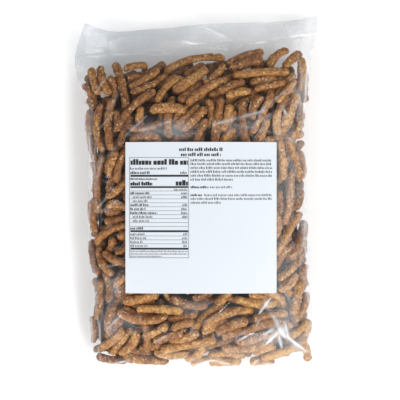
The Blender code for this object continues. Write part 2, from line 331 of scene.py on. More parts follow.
def tuckedIn(maps, ceiling, place, stick, depth):
    # the same stick, then slid sideways and along itself until it sinks
    line = pressedUp(maps, ceiling, place, stick, depth)
    if line is None:
        return None
    for turn in (-math.pi / 2, math.pi):
        step = heap["slide"] * math.cos(stick[0] + turn), heap["slide"] * math.sin(stick[0] + turn)
        for _ in range(heap["slides"]):
            moved = place[0] + step[0], place[1] + step[1]
            slid = pressedUp(maps, ceiling, moved, stick, depth)
            if slid is None or slid[:, 2].mean() < line[:, 2].mean() - heap["mostSink"]:
                break
            place, line = moved, slid
    return line


def layRounds(maps, ceiling, depths, tries, draw):
    xs, ys, film = maps[:3]
    least, common, most = heap["length"]
    edge, cell = heap["edgeCells"], heap["cell"]
    laid = []
    for depth in depths:
        for number in range(tries):
            column = draw.integers(edge, len(xs) - edge)
            row = draw.integers(edge, len(ys) - edge)
            place = xs[column], ys[row]
            angle = layOf(*place, draw)
            length, radius = draw.triangular(least, common, most), draw.uniform(*heap["radius"])
            if number > tries / 2:  # shorter ones in what is left
                length = min(length, draw.uniform(least, most))
            bend, drop = heap["bend"] * draw.uniform(-1, 1), heap["mostDrop"] * draw.random() ** 2
            ahead = [heap["ends"] * length * part(angle) / cell for part in (math.cos, math.sin)]
            ends = [(int(row + k * ahead[1]), int(column + k * ahead[0])) for k in (-1, 0, 1)]
            if any(ceiling[end] < film[end] - depth or film[end] < 0 for end in ends):
                continue
            line = tuckedIn(maps, ceiling, place, (angle, length, radius, bend, drop), depth)
            if line is None:
                continue
            rows, columns, cap, near = cellsNear(xs, ys, line[:, 0], line[:, 1], heap["nesting"] * radius)
            np.minimum.at(ceiling, (rows[near], columns[near]), (line[:, 2, None] - cap)[near])
            laid.append((line, radius))
    return laid


def heapSticks():
    # the outer sticks, then the deeper ones and those on the underside
    draw = np.random.default_rng(heap["seed"])
    maps = heapMap()
    xs, ys, film = maps[:3]
    ceiling = film.copy()
    outer = layRounds(maps, ceiling, heap["depths"], heap["tries"], draw)
    deeper = layRounds(maps, ceiling, heap["deeper"], heap["fewerTries"], draw)
    turned = bagShape["thickness"]  # height about which the bag is turned over to fill it from below
    gridX, gridY = np.meshgrid(xs, ys)
    under = np.where(film < 0, -1, turned - bottomHeight(gridX, gridY) - heap["filmClearance"])
    limit = rolled(np.where(ceiling < 0, 1, turned - ceiling), heap["radius"][0], 1)
    turnedMaps = xs, ys, under, rolled(under, sum(heap["radius"]) / 2, -1), limit
    below = layRounds(turnedMaps, under.copy(), heap["underside"], heap["fewerTries"], draw)
    below = [(line * (1, 1, -1) + (0, 0, turned), radius) for line, radius in below]
    return outer, deeper, below


outer, deeper, below = heapSticks()
print("heap laid", len(outer), "outer,", len(deeper), "deeper and", len(below), "under them")

# The clear film, stretched over the sticks

filmLook = {
    "columns": 220,  # of the upper sheet, the lower one has half as many each way
    "rows": 340,
    "headerRows": 32,
    "flapRows": 14,
    "edgeCrowding": 0.80,  # 0 for even columns, towards 1 for finer ones at the sides
    "sheetGap": 0.00012,  # half the distance between the film's two layers where they are sealed
    "floorGap": 0.0002,
    "cell": 0.001,
    "mapHalf": (0.092, 0.134),
    "reachCells": 5,
    "rest": 0.00035,  # how far above the sticks the film lies
    "proud": 0.0008,  # how far a stick may lift the film past its fullest
    "fullness": 0.0012,  # how far below its fullest the film starts to settle
    "taut": (0.048, -0.090, 0.034, 0.026),  # where it stays full: x, y, half sizes across and along
    "tautShare": 0.8,  # of the fullness, taken up there
    "underLabel": 0.0001,
    "settleSteps": 70,
    "deepest": 0.006,  # hollow that still counts
    "loose": (0.0002, 0.0022),  # hollow under the film over which its wrinkles set in
    "puff": 0.0003,
    "wrinkles": (0.00022, 0.00030),
    "sealPleat": 0.0005,
    "pleatReach": (0.010, 0.006),  # from the top and the bottom seal
    "ripples": (0.0003, 0.0007),  # of the header
    "parting": 0.0011,  # most that the header's two layers part
    "undersideRipple": 0.00025,
    "roughness": 0.16,
    "ior": 1.5,
    "shine": (1.0, 0.50, 0.20),  # of the body, its lower left and the header's raised corner
    # colour of the haze and of the painted sheen and highlights
    "milkAndSheen": (0.88, 0.91, 0.94),
    "keeps": (("Red", 1.0), ("Green", 0.88), ("Blue", 0.78)),  # share of the tint, so that it is bluish
}
# Creases in the film, mm: from x, y to x, y, height and half width
creases = [
    (-13.9, 110.5, 8.3, 106.3, 1, 1.6), (3.5, 120.2, 24.3, 110.5, 0.9, 2),
    (7.5, 105.2, 22.5, 103.6, 0.8, 0.9), (36, 108, 49, 109.6, 0.8, 0.9), (-62, 108.5, -44, 115, 0.9, 1.8),
    (64, 113, 61, 123, 1, 1.6), (-80, 98.7, -32, 100.8, 0.6, 0.8), (-25, -118.8, -13.2, -111.2, 1, 0.9),
    (-4.2, -115.4, 11.8, -110.5, 1, 0.9), (11.8, -110.5, 28.5, -115.4, 1, 0.9),
    (37.5, -115.4, 43.1, -109.8, 1, 0.8), (45.9, -113.3, 72.3, -116.1, 1, 0.9),
    (-62, -115, -46, -111, 0.9, 0.8), (-74.5, 30, -72, -50, 0.9, 0.9), (-73, -56, -70, -108, 1, 1),
    (-69, -30, -72, -70, 0.8, 0.9), (44, -66, 50.5, -79, 1.1, 1.4), (52, -80, 62, -96, 1.3, 1.5),
    (60, -83, 50, -93, 1.1, 1.4), (62, -96, 76, -106, 0.9, 1.2), (26, -96, 38, -90, 0.9, 1.1),
    (24, -86, 32, -80, 0.8, 1.1), (-68, 8, -62, 40, 0.8, 1.1), (-62, 54, -50, 78, 0.7, 1),
    (-58, 30, -50, 40, 0.7, 1.1), (72, 45, 66, 88, 0.8, 1), (69, 30, 74, 60, 0.7, 1),
    (76, -64, 79, -90, 0.9, 1.3), (-66, -70, -56, -100, 0.6, 1), (-20, -108, 20, -113, 0.6, 1),
    (30, 45, 50, 58, 0.6, 1), (-30, 48, -8, 42, 0.6, 1),
]


def alongFold(x, y, ends):
    # share of the way along a straight fold, and the distance from it
    x0, y0, x1, y1 = (mm * value for value in ends)
    dx, dy = x1 - x0, y1 - y0
    t = np.clip(((x - x0) * dx + (y - y0) * dy) / (dx * dx + dy * dy), 0, 1)
    return t, np.hypot(x - x0 - t * dx, y - y0 - t * dy)


def creaseHeight(x, y):
    total = np.zeros_like(x)
    for *ends, height, width in creases:
        t, away = alongFold(x, y, ends)
        swell = np.sin(math.pi * np.clip(t, 0.05, 0.95)) ** 0.7  # lower towards its ends
        total += height * mm * swell * np.exp(-((away / (width * mm)) ** 1.5))
    return total


# A small oval mark pressed into the film beside the top seal, with the height and half width of its rim
ring = {"x": -0.0255, "y": 0.1010, "across": 0.0070, "along": 0.0022, "height": 0.0007, "width": 0.0006}


def ringHeight(x, y):
    out = np.hypot((x - ring["x"]) / ring["across"], (y - ring["y"]) / ring["along"])
    return ring["height"] * np.exp(-(((out - 1) * ring["along"] / ring["width"]) ** 2))


def wrinkleHeight(x, y):
    # two crossing trains of small waves
    fine, coarse = filmLook["wrinkles"]
    waves = fine * np.sin(x / 0.0019 + 2.2 * np.sin(y / 0.011)) * np.sin(y / 0.0043 + x / 0.017)
    return waves + coarse * np.sin((x + y) / 0.0047 + np.sin(x / 0.009))


def pleatHeight(x, y):
    # gathers that run out from the top and the bottom seal
    topReach, bottomReach = filmLook["pleatReach"]
    fromTop = np.maximum(topSeal(x) - y, 0)
    fromBottom = np.maximum(y - bagShape["bottomSealY"], 0)
    pleats = np.sin(x / 0.0021 + 1.7 * np.sin(x / 0.013)) * np.exp(-fromTop / topReach)
    pleats += 1.6 * np.sin(x / 0.0021 + 1.9 * np.sin(x / 0.012)) * np.exp(-fromBottom / bottomReach)
    return filmLook["sealPleat"] * np.maximum(pleats, 0) * (1 - np.abs(across(x, y)) ** 8)


def stickBacks(xs, ys, gridX):
    # height of the sticks at each cell of the map, and of the film that rests on them
    cell, reach = filmLook["cell"], filmLook["reachCells"]
    backs = np.full(gridX.shape, -1.0)
    steps = np.arange(-reach, reach + 1)
    for line, radius in outer + deeper:
        fine = np.linspace(0, 1, 3 * len(line))
        own = np.stack([np.interp(fine, np.linspace(0, 1, len(line)), line[:, k]) for k in range(3)], 1)
        column = np.rint((own[:, 0] - xs[0]) / cell).astype(int)[:, None] + np.tile(steps, len(steps))
        row = np.rint((own[:, 1] - ys[0]) / cell).astype(int)[:, None] + np.repeat(steps, len(steps))
        square = (radius + filmLook["rest"]) ** 2
        square = square - (xs[column] - own[:, :1]) ** 2 - (ys[row] - own[:, 1:2]) ** 2
        near = square > 0
        top = own[:, 2:3] + np.sqrt(np.maximum(square, 0))
        np.maximum.at(backs, (row[near], column[near]), top[near])
    return backs


def stretchedFilm():
    # height map of the upper film: it rests on the sticks and spans the hollows between them
    cell, (halfX, halfY) = filmLook["cell"], filmLook["mapHalf"]
    xs = np.arange(-halfX, halfX + cell / 2, cell)
    ys = np.arange(-halfY, halfY + cell / 2, cell)
    gridX, gridY = np.meshgrid(xs, ys)
    inside = (
        (np.abs(across(gridX, gridY)) < 0.995) & (gridY < topSeal(gridX)) & (gridY > bagShape["bottomSealY"])
    )
    low, most = foldHeight(gridY), topHeight(gridX, gridY)
    share = labelShare(gridX, gridY)
    backs = np.minimum(stickBacks(xs, ys, gridX), most + filmLook["proud"] * (1 - share))
    backs = np.maximum(backs, np.where(share > 0.98, most - filmLook["underLabel"], -1))
    tautX, tautY, wide, tall = filmLook["taut"]
    taut = np.exp(-(((gridX - tautX) / wide) ** 2 + ((gridY - tautY) / tall) ** 2) ** 2)
    slack = filmLook["fullness"] * (1 - filmLook["tautShare"] * taut)
    backs = np.maximum(backs, np.where(taut > 0.25, most - slack, -1))
    z = np.where(inside, np.maximum(backs, np.maximum(most - slack, low)), low)
    for _ in range(filmLook["settleSteps"]):
        mean = (np.roll(z, 1, 0) + np.roll(z, -1, 0) + np.roll(z, 1, 1) + np.roll(z, -1, 1)) / 4
        z = np.where(inside, np.maximum(mean, backs), low)
    hollow = np.clip(z - backs, 0, filmLook["deepest"])
    free = smoothStep(hollow, *filmLook["loose"]) * (1 - share)
    folds = (1 - share) * (creaseHeight(gridX, gridY) + ringHeight(gridX, gridY)) * inside
    z = z + free * (wrinkleHeight(gridX, gridY) + filmLook["puff"]) + folds
    z = z + pleatHeight(gridX, gridY) * inside
    ceiling = np.where(share > 0.5, most + filmLook["underLabel"], bagShape["thickness"] - bagShape["lump"])
    return xs, ys, np.minimum(z, ceiling), hollow


def readMap(xs, ys, values, x, y):
    cell = xs[1] - xs[0]
    column = np.clip((x - xs[0]) / cell, 0, len(xs) - 1.001)
    row = np.clip((y - ys[0]) / cell, 0, len(ys) - 1.001)
    c, r = column.astype(int), row.astype(int)
    fc, fr = column - c, row - r
    return (
        values[r, c] * (1 - fc) * (1 - fr)
        + values[r, c + 1] * fc * (1 - fr)
        + values[r + 1, c] * (1 - fc) * fr
        + values[r + 1, c + 1] * fc * fr
    )


mapX, mapY, filmHeights, filmHollows = stretchedFilm()
filmTop = mapX, mapY, filmHeights
print("film stretched")

# Sesame sticks: rough blunt rods of toasted dough

stickLook = {
    "size": (0.85, 1.02),  # mean thickness, as a share of the stick's own radius
    "most": 1.12,  # never thicker than this
    "flatten": 0.07,  # out of round
    "knobs": 0.08,  # slow swelling and thinning along the stick
    "crags": 0.11,  # fine roughness
    "cragTwist": 31,
    "cragLength": 0.0019,
    "endRound": 1.15,  # length of the rounded end, in radii
    "endPower": 2.4,  # how blunt it is
    "endRing": 0.012,  # the first ring, as a share of the stick's length
    "reach": 0.35,  # how far the tip reaches past the stick's line, in radii
    "inside": 0.0002,  # room left between a stick and the film
    "tones": 0.9,  # how much the sticks differ in colour
    "paintedLight": 0.40,  # painted light: how much paler the sticks are in the zones below, where more light falls
    "paintedLightZones": [  # share, and the range of x and of y over which it sets in; a share below 0 paints shade
        (1.0, (-0.060, 0.010), (-0.045, -0.090)),
        (0.7, (0.035, 0.065), (0.090, 0.030)),
        (0.35, (-0.045, 0.0), (0.030, 0.060)),
        (-0.35, (-0.020, -0.060), (-1.0, -0.9)),
    ],
}


def zoneSum(paintedLightZones, x, y):
    return sum(share * smoothStep(x, *rangeX) * smoothStep(y, *rangeY) for share, rangeX, rangeY in paintedLightZones)


def stickPoints(line, radius, sides, rings, draw):
    # rings of points round one stick, with a point at each tip
    along = np.linspace(0, 1, len(line))
    length = np.linalg.norm(line[-1] - line[0])
    ahead = (line[-1] - line[0]) / length
    reach = stickLook["reach"] * radius / length
    t = 0.5 - 0.5 * np.cos(np.linspace(0, math.pi, rings + 2)[1:-1])
    endRing = stickLook["endRing"]
    t = 0.5 * t + 0.5 * np.linspace(endRing, 1 - endRing, rings)  # closer rings at the ends
    share = -reach + t * (1 + 2 * reach)
    centre = np.stack([np.interp(share, along, line[:, k]) for k in range(3)], 1)
    centre += np.outer(np.minimum(share, 0) + np.maximum(share - 1, 0), ahead * length)
    side = np.cross((0, 0, 1), ahead)
    side /= np.linalg.norm(side)
    up = np.cross(ahead, side)
    fromEnd = np.minimum(t, 1 - t) * length * (1 + 2 * reach) / (stickLook["endRound"] * radius)
    body = np.sqrt(1 - (1 - np.clip(fromEnd, 0, 1)) ** stickLook["endPower"])
    slow, fast = draw.uniform(4, 9), draw.uniform(14, 26)
    swell = np.sin(t * slow + draw.uniform(0, 6)) + 0.5 * np.sin(t * fast + draw.uniform(0, 6))
    turn = np.linspace(0, 2 * math.pi, sides, endpoint=False)[None] + np.zeros((rings, 1))
    phase = draw.uniform(0, 6.28, 6)
    twist = 4 * turn + phase[2] + stickLook["cragTwist"] * t[:, None]
    crags = stickLook["crags"] * np.sin(twist) * np.sin(length / stickLook["cragLength"] * t[:, None])
    ring = (
        draw.uniform(*stickLook["size"])
        + stickLook["knobs"] * swell[:, None]
        + stickLook["flatten"] * np.sin(2 * turn + phase[0] + 1.5 * t[:, None])
        + 0.5 * stickLook["flatten"] * np.sin(3 * turn + phase[1] - 2 * t[:, None])
        + crags
        + 0.6 * stickLook["crags"] * draw.uniform(-1, 1, turn.shape)
    )
    size = radius * body[:, None] * np.minimum(ring, stickLook["most"])
    points = (
        centre[:, None]
        + size[..., None] * (np.cos(turn)[..., None] * side + np.sin(turn)[..., None] * up)
    ).reshape(-1, 3)
    tips = line[[0, -1]] + np.outer((-1, 1), ahead) * radius * stickLook["reach"]
    return np.concatenate([points, tips])


def stickFaces(sides, rings):
    faces = []
    for r in range(rings - 1):
        for k in range(sides):
            n = (k + 1) % sides
            faces.append((r * sides + k, r * sides + n, (r + 1) * sides + n, (r + 1) * sides + k))
    first, last = rings * sides, rings * sides + 1
    for k in range(sides):
        n = (k + 1) % sides
        faces.append((first, n, k))
        faces.append((last, (rings - 1) * sides + k, (rings - 1) * sides + n))
    return np.array([f + (-1,) * (4 - len(f)) for f in faces])


def sticksPiece(name, sticks, sides, rings, finish, seed):
    draw = np.random.default_rng(seed)
    points, faces, tones, count = [], [], [], 0
    pattern = stickFaces(sides, rings)
    for line, radius in sticks:
        own = stickPoints(line, radius, sides, rings, draw)
        own[:, 2] = np.minimum(own[:, 2], readMap(*filmTop, own[:, 0], own[:, 1]) - stickLook["inside"])
        own[:, 2] = np.maximum(own[:, 2], bottomHeight(own[:, 0], own[:, 1]) + stickLook["inside"])
        points.append(own)
        faces.append(np.where(pattern < 0, -1, pattern + count))
        # painted light: paler sticks at the bottom and on the right, darker ones on the left
        paintedLight = stickLook["paintedLight"] * zoneSum(stickLook["paintedLightZones"], line[:, 0].mean(), line[:, 1].mean())
        tones += [stickLook["tones"] * draw.random() + paintedLight] * len(own)
        count += len(own)
    rows = [[v for v in face if v >= 0] for face in np.concatenate(faces).tolist()]
    piece = meshPiece(name, np.concatenate(points), rows, finish)
    setAttribute(piece, "toneAndPaintedLight", tones)
    return piece


crustLook = {
    "shades": [
        (0.0, (0.155, 0.050, 0.010)), (0.30, (0.315, 0.110, 0.022)),
        (0.66, (0.490, 0.210, 0.046)), (1.0, (0.740, 0.410, 0.110)),
    ],
    "blotches": (270.0, 1.9, -0.74),  # scale, strength and offset
    "cracks": (680.0, 2.4, -1.2),
    "byTone": 0.50,  # how far a stick's own tone and its painted light move its shade
    "seeds": 330.0,
    "seedColour": (0.86, 0.58, 0.26),
    "seedShare": 0.80,
    "seedPatches": 95.0,
    "crackDark": (0.46, 0.38, 0.30),
    # painted shade: the dark colour that the deeper sticks' crust is mixed towards
    "inShade": (0.020, 0.012, 0.008),
    "bump": {"Strength": 0.9, "Distance": 0.0009},
    "roughness": 0.45,
    "gloss": 0.6,
}


def crustMaterial(name, depth):
    # toasted dough: brown crust, paler where it was rubbed, with sesame seeds baked in
    look = crustLook
    finish, nodes, shader = newMaterial(name)
    blotchScale, blotchTimes, blotchPlus = look["blotches"]
    blotch = scaled(nodes, noise(nodes, blotchScale, 5.0, Roughness=0.65), "Fac", blotchTimes, blotchPlus)
    # each stick's random tone, with its painted light
    toneAndPaintedLight = addNode(nodes, "ShaderNodeAttribute", attribute_name="toneAndPaintedLight")
    toned = scaled(nodes, toneAndPaintedLight, "Fac", look["byTone"])
    join(blotch, 0, toned, 2)
    crackScale, crackTimes, crackPlus = look["cracks"]
    cracks = noise(nodes, crackScale, 6.0, Roughness=0.7)
    total = addNode(nodes, "ShaderNodeMath", operation="ADD")
    join(toned, 0, total, 0)
    join(scaled(nodes, cracks, "Fac", crackTimes, crackPlus), 0, total, 1)
    base = colourRamp(nodes, look["shades"])
    join(total, 0, base, "Fac")

    seeds = addNode(nodes, "ShaderNodeTexVoronoi", {"Scale": look["seeds"], "Randomness": 1.0})
    join(addNode(nodes, "ShaderNodeTexCoord"), "Object", seeds, "Vector")
    seedMask = colourRamp(nodes, [(0.0, (1, 1, 1)), (0.24, (1, 1, 1)), (0.34, (0, 0, 0))])
    join(seeds, "Distance", seedMask, "Fac")
    patchMask = colourRamp(nodes, [(0.42, (0, 0, 0)), (0.54, (1, 1, 1))])
    join(noise(nodes, look["seedPatches"], 2.0), "Fac", patchMask, "Fac")
    where = addNode(nodes, "ShaderNodeMath", operation="MULTIPLY")
    join(seedMask, "Color", where, 0)
    join(patchMask, "Color", where, 1)
    seeded = addNode(nodes, "ShaderNodeMix", data_type="RGBA")
    join(scaled(nodes, where, 0, look["seedShare"]), 0, seeded, "Factor")
    join(base, "Color", seeded, "A")
    seeded.inputs["B"].default_value = (*look["seedColour"], 1)

    crackDark = colourRamp(nodes, [(0.33, look["crackDark"]), (0.46, (1, 1, 1))])
    join(cracks, "Fac", crackDark, "Fac")
    shaded = addNode(nodes, "ShaderNodeMix", {"Factor": 1.0}, data_type="RGBA", blend_type="MULTIPLY")
    join(seeded, "Result", shaded, "A")
    join(crackDark, "Color", shaded, "B")
    # painted shade: the deeper sticks get a shaded copy of the lit crust
    if depth:
        shadeMix = addNode(nodes, "ShaderNodeMix", {"Factor": depth}, data_type="RGBA")
        join(shaded, "Result", shadeMix, "A")
        shadeMix.inputs["B"].default_value = (*look["inShade"], 1)
        shaded = shadeMix
    join(shaded, "Result", shader, "Base Color")

    relief = scaled(nodes, where, 0, 0.5)
    join(cracks, "Fac", relief, 2)
    bump = addNode(nodes, "ShaderNodeBump", look["bump"])
    join(relief, 0, bump, "Height")
    join(bump, "Normal", shader, "Normal")
    shader.inputs["Roughness"].default_value = look["roughness"]
    shader.inputs["Specular IOR Level"].default_value = look["gloss"]
    return finish


outerCrust = crustMaterial("toasted crust", 0)
# the same crust with painted shade, for the deeper sticks
innerCrust = crustMaterial("toasted crust in shade", 0.4)
outerPiece = sticksPiece("outer_sticks", outer, 14, 26, outerCrust, 5)
innerPiece = sticksPiece("inner_sticks", deeper + below, 10, 14, innerCrust, 6)
print("sticks made")

# The middle of the heap as one dark sheet, painted shade seen only through gaps

coreLook = {
    "below": 0.0150,  # under the film
    "above": 0.0080,  # over the underside
    "share": 0.90,  # of the bag's width
    "fromBottom": 0.013,  # from the seals
    "fromTop": 0.030,
    "middle": 0.45,  # of the height, where its two sides may meet
    "columns": 60,
    "rows": 90,
}


def paintedShadeCore():
    finish, nodes, shader = newMaterial("heap in shade")
    # painted shade: near-black brown where sticks deep in the heap would lie in shade
    tint = colourRamp(nodes, [(0.35, (0.020, 0.010, 0.006)), (0.70, (0.110, 0.048, 0.020))])
    join(noise(nodes, 160.0, 4.0), "Fac", tint, "Fac")
    join(tint, "Color", shader, "Base Color")
    shader.inputs["Roughness"].default_value = 0.9
    cage = bmesh.new()
    bmesh.ops.create_grid(cage, x_segments=coreLook["columns"], y_segments=coreLook["rows"], size=1)
    lower = list(cage.verts)
    made = bmesh.ops.extrude_face_region(cage, geom=list(cage.faces), use_keep_orig=True)["geom"]
    upper = [v for v in made if isinstance(v, bmesh.types.BMVert)]
    for vertices, isTop in ((lower, False), (upper, True)):
        for vertex in vertices:
            a, s = coreLook["share"] * vertex.co.x, (vertex.co.y + 1) / 2
            x = a * bagShape["width"] / 2
            low, high = bagShape["bottomSealY"] + coreLook["fromBottom"], topSeal(x) - coreLook["fromTop"]
            y = low + (high - low) * s
            left, right = sideEdges(y)
            x = (left + right) / 2 + a * (right - left) / 2
            top, bottom = topHeight(x, y), bottomHeight(x, y)
            middle = bottom + coreLook["middle"] * (top - bottom)
            if isTop:
                z = max(top - coreLook["below"], middle + 0.0005)
            else:
                z = min(bottom + coreLook["above"], middle)
            vertex.co = (x, y, z)
    cage.normal_update()
    bmesh.ops.recalc_face_normals(cage, faces=cage.faces)
    mesh = bpy.data.meshes.new("heap_shade_core")
    cage.to_mesh(mesh)
    cage.free()
    mesh.materials.append(finish)
    mesh.shade_smooth()
    piece = bpy.data.objects.new("heap_shade_core", mesh)
    bpy.context.scene.collection.objects.link(piece)
    return piece


corePiece = paintedShadeCore()
print("core made")

# The clear film's mesh

# Where the film hangs slack and looks milky, with painted sheen and glare: x, y, half sizes across and along
# in mm, strength
paintedSheenPatches = [
    (57.2, -88.5, 5.8, 5, 0.22), (-22, 46, 17, 6, 0.22), (34, 48, 14, 6, 0.20), (66, 12, 8, 22, 0.10),
    (-56, -62, 9, 12, 0.12), (-52, -88, 12, 9, 0.10), (54, -90, 16, 12, 0.08), (76, -20, 5, 20, 0.16),
    (74, 72, 6, 16, 0.14), (-4, -72, 12, 5, 0.10),
]


# Painted highlights on flat facets of the header, whiter and clearer film: x, y, half sizes across and along
# in mm, strength
brightFacets = [
    (-57, 104, 3, 4.5, 0.16), (-69, 110, 7, 5, 0.12), (70.5, 118, 6.2, 6.6, 0.55),
    (-18, 107.5, 10, 2, 0.10), (42, 108.5, 6, 1.2, 0.25), (-70, 101, 6, 3, 0.14),
]


# Painted highlights, white along sharp folds of the film: from x, y to x, y and half width in mm, strength
glints = [
    (12, 50, 48, 60, 1.2, 0.34), (26.2, 50, 59.8, 43, 0.9, 0.30), (44, 60, 64, 76, 0.8, 0.22),
    (-38, 46, -17, 52, 1, 0.26), (-48, 42, -33, 56, 0.7, 0.22), (-62, 83, -70, 70, 0.6, 0.40),
    (-68, 45, -56, 58, 0.6, 0.24), (-70, -10, -56, 6, 0.6, 0.22), (-69, -48, -52, -44, 0.7, 0.26),
    (-55, -56, -49, -70, 0.6, 0.26), (-60, -88, -48, -76, 0.6, 0.26), (64, 62, 74, 44, 0.6, 0.26),
    (60, 42, 68, 38, 0.8, 0.34), (59, 61, 62, 56, 0.7, 0.40), (56, -56, 64, -70, 0.7, 0.26),
    (2, -84, 20, -76, 0.7, 0.22), (-30, -98, -16, -90, 0.7, 0.22), (50.3, -66.6, 42.2, -77.5, 0.9, 0.80),
    (52, -80, 60, -93.5, 2, 0.75), (60, -83.5, 62.5, -94.5, 1.3, 0.60), (56, -93, 58, -101, 1, 0.60),
    (53, -87, 48, -90, 1.3, 0.60), (57.8, -87.7, 46.9, -98.6, 0.8, 0.70),
    (61.2, -92.5, 75.5, -104.7, 0.9, 0.75), (36.7, -90.4, 27.9, -95.9, 0.7, 0.55),
    (34, -88, 26.2, -94, 0.6, 0.35), (44, -80, 40, -86, 0.6, 0.40),
    (-25, -117.5, -13.2, -111.2, 0.6, 0.55), (-4.2, -115.4, 11.8, -110.5, 0.6, 0.60),
    (11.8, -110.5, 28.5, -115.4, 0.6, 0.50), (37.5, -115.4, 43.1, -109.8, 0.5, 0.50),
    (45.9, -113.3, 72.3, -116.1, 0.6, 0.50), (-62, -115, -46, -111, 0.6, 0.40),
    (72.1, -27.9, 77.5, -25.8, 0.6, 0.45), (71.6, -29, 74.5, -34, 0.6, 0.40), (69, 74, 72, 64, 0.6, 0.30),
    (-66, 45, -70, 28, 0.6, 0.30), (-53, 36, -62, 27, 0.5, 0.30), (-82, 98.5, -33, 100.8, 0.5, 0.45),
    (-32.9, 102.8, -22.6, 109.2, 0.6, 0.30), (-22.6, 109.2, -13.3, 110, 0.6, 0.35),
    (-13.3, 110, 9.7, 104.5, 0.6, 0.55), (9.2, 106, 12.5, 104, 1.1, 0.80),
    (12.5, 104, 22.5, 103, 0.6, 0.50), (20, 105, 21.3, 102, 0.9, 0.85),
    (3.5, 120.2, 25, 109.5, 0.6, 0.40), (27, 103.4, 33, 106.5, 0.6, 0.60),
    (34, 106.8, 40.7, 109.2, 0.7, 0.55), (40.7, 107.8, 62.6, 109.5, 0.5, 0.50),
    (62.6, 109.5, 76, 113, 0.6, 0.45), (-31, 99.5, -19, 99.5, 0.5, 0.45),
    (-32.5, 101, -30, 99, 0.5, 0.60), (-21, 102.5, -18, 100.5, 0.5, 0.50),
    (-30, 103, -22, 103.4, 0.4, 0.40), (-70, 97.5, -56, 98.5, 0.6, 0.30),
]


# Folds that run along the bag's sides, milky with painted sheen: place across from -1 to 1, sway, phase,
# strength
edgeFolds = [
    (-0.972, 0.010, 0.4, 0.34), (-0.925, 0.024, 2.1, 0.24), (-0.860, 0.030, 4.4, 0.10),
    (0.965, 0.012, 1.3, 0.30), (0.905, 0.024, 3.0, 0.14),
]

# How milky the film is, from 0 to 1: a slight haze of its own, with painted sheen, glare and highlights where
# the lamps would shine on it, and the ranges over which each share of it sets in
hazeAndSheenLook = {
    "least": 0.002,
    "paintedLightZones": [  # painted sheen: strength, range of x and of y
        (0.06, (0.040, 0.080), (0.100, 0.0)),
        (0.05, (-0.060, 0.020), (-0.050, -0.100)),
    ],
    "corner": (0.03, (0.080, 0.180)),  # painted glare towards the lower right, by x less y
    "clearer": (0.5, (0.0002, 0.0015)),  # share lost over a hollow, by its depth, so that the painted sheen sits on the sticks' backs
    "rightRim": (0.06, (0.95, 1.0)),  # painted sheen along the right side, by the place across
    # milky band along the left side, with painted sheen
    "leftRim": (0.10, (-0.88, -0.97)),
    "foldWidth": 0.009,
    "bottomSeal": (0.05, (0.002, 0.0)),  # painted highlight along the bottom seal, by the height over the seal
    "header": 0.09,
    "headerRight": (0.05, (-0.030, 0.020)),  # painted light that brightens the header towards the right, by x
    "flap": 0.02,
    "facetEdge": (1.12, 0.94),
    "crease": 160.0,  # painted highlight on the creases, per metre of a crease's height
    "below": (0.3, 0.1),  # share and limit for the lower sheet
}

# How much light the film lets through, with painted shade that greys the header, by x unless it says
# otherwise
tintAndShadeLook = {
    "body": 0.995,
    "header": 0.868,
    "middle": (0.076, (-0.050, 0.0)),
    "right": (0.018, (0.015, 0.060)),
    "freeEdge": (0.030, (0.25, 0.85), (0.066, 0.050)),  # painted shade towards the header's free edge, by the share of the header's height, then x
    "nearSeal": (0.024, 0.0),  # how far below the top seal the header's tint and its painted shade run
    "flap": 0.972,
    "flapRight": (0.020, (-0.070, -0.040)),
    "facets": 2,  # how fast a facet's painted highlight clears the tint, per unit of its strength
}


def eased(value, setting):
    strength, limits = setting
    return strength * smoothStep(value, *limits)


def edgeHazeAndSheen(a, y):
    total = eased(a, hazeAndSheenLook["leftRim"]) * (0.6 + 0.4 * np.sin(y / 0.011))
    for at, sway, phase, strength in edgeFolds:
        swing = np.sin(y / 0.014 + phase) + 0.5 * np.sin(y / 0.0058 + 2 * phase)
        fade = 0.55 + 0.45 * np.sin(y / 0.019 + 3 * phase)
        total = total + strength * fade * np.exp(-(((a - at - sway * swing) / hazeAndSheenLook["foldWidth"]) ** 2))
    return total


def paintedGlints(x, y):
    # painted highlights: a white stroke along each fold
    total = np.zeros_like(x)
    for *ends, width, strength in glints:
        t, away = alongFold(x, y, ends)
        own = width * mm * (0.35 + 0.65 * np.sin(math.pi * np.clip(t, 0.02, 0.98)))
        own = own * (1 + 0.35 * np.sin(x / 0.0011 + y / 0.0017))  # ragged, and thinner towards its ends
        total = np.maximum(total, strength * np.exp(-((away / own) ** 2)))
    return total


def filmGrid():
    # places on the film: across from -1 to 1 and y, with the part each row belongs to
    columns, rows = filmLook["columns"], filmLook["rows"]
    a = np.linspace(-1, 1, columns + 1)
    crowding = math.pi / 2 * filmLook["edgeCrowding"]
    a = np.sin(a * crowding) / math.sin(crowding)
    b = np.arange(rows + 1)
    bodyRows = rows - filmLook["headerRows"] - filmLook["flapRows"]
    x = a * bagShape["width"] / 2
    seal, edge = topSeal(x), through(bagShape["headerEdge"], a)
    headerS = np.clip((b - filmLook["flapRows"] - bodyRows) / filmLook["headerRows"], 0, 1)[:, None]
    flapS = np.clip(1 - b / filmLook["flapRows"], 0, 1)[:, None]
    bodyS = np.clip((b - filmLook["flapRows"]) / bodyRows, 0, 1)[:, None]
    y = bagShape["bottomSealY"] + (seal - bagShape["bottomSealY"])[None] * bodyS
    y = y + (edge - seal)[None] * headerS
    y = y + (bagShape["flapEdgeY"] - bagShape["bottomSealY"]) * flapS
    left, right = sideEdges(y)
    x = (left + right) / 2 + a[None] * (right - left) / 2
    return a[None] + 0 * y, x, y, headerS + 0 * y, flapS + 0 * y


def sheetQuads(shape, start):
    index = start + np.arange(shape[0] * shape[1]).reshape(shape)
    return np.stack([index[:-1, :-1], index[:-1, 1:], index[1:, 1:], index[1:, :-1]], -1).reshape(-1, 4)


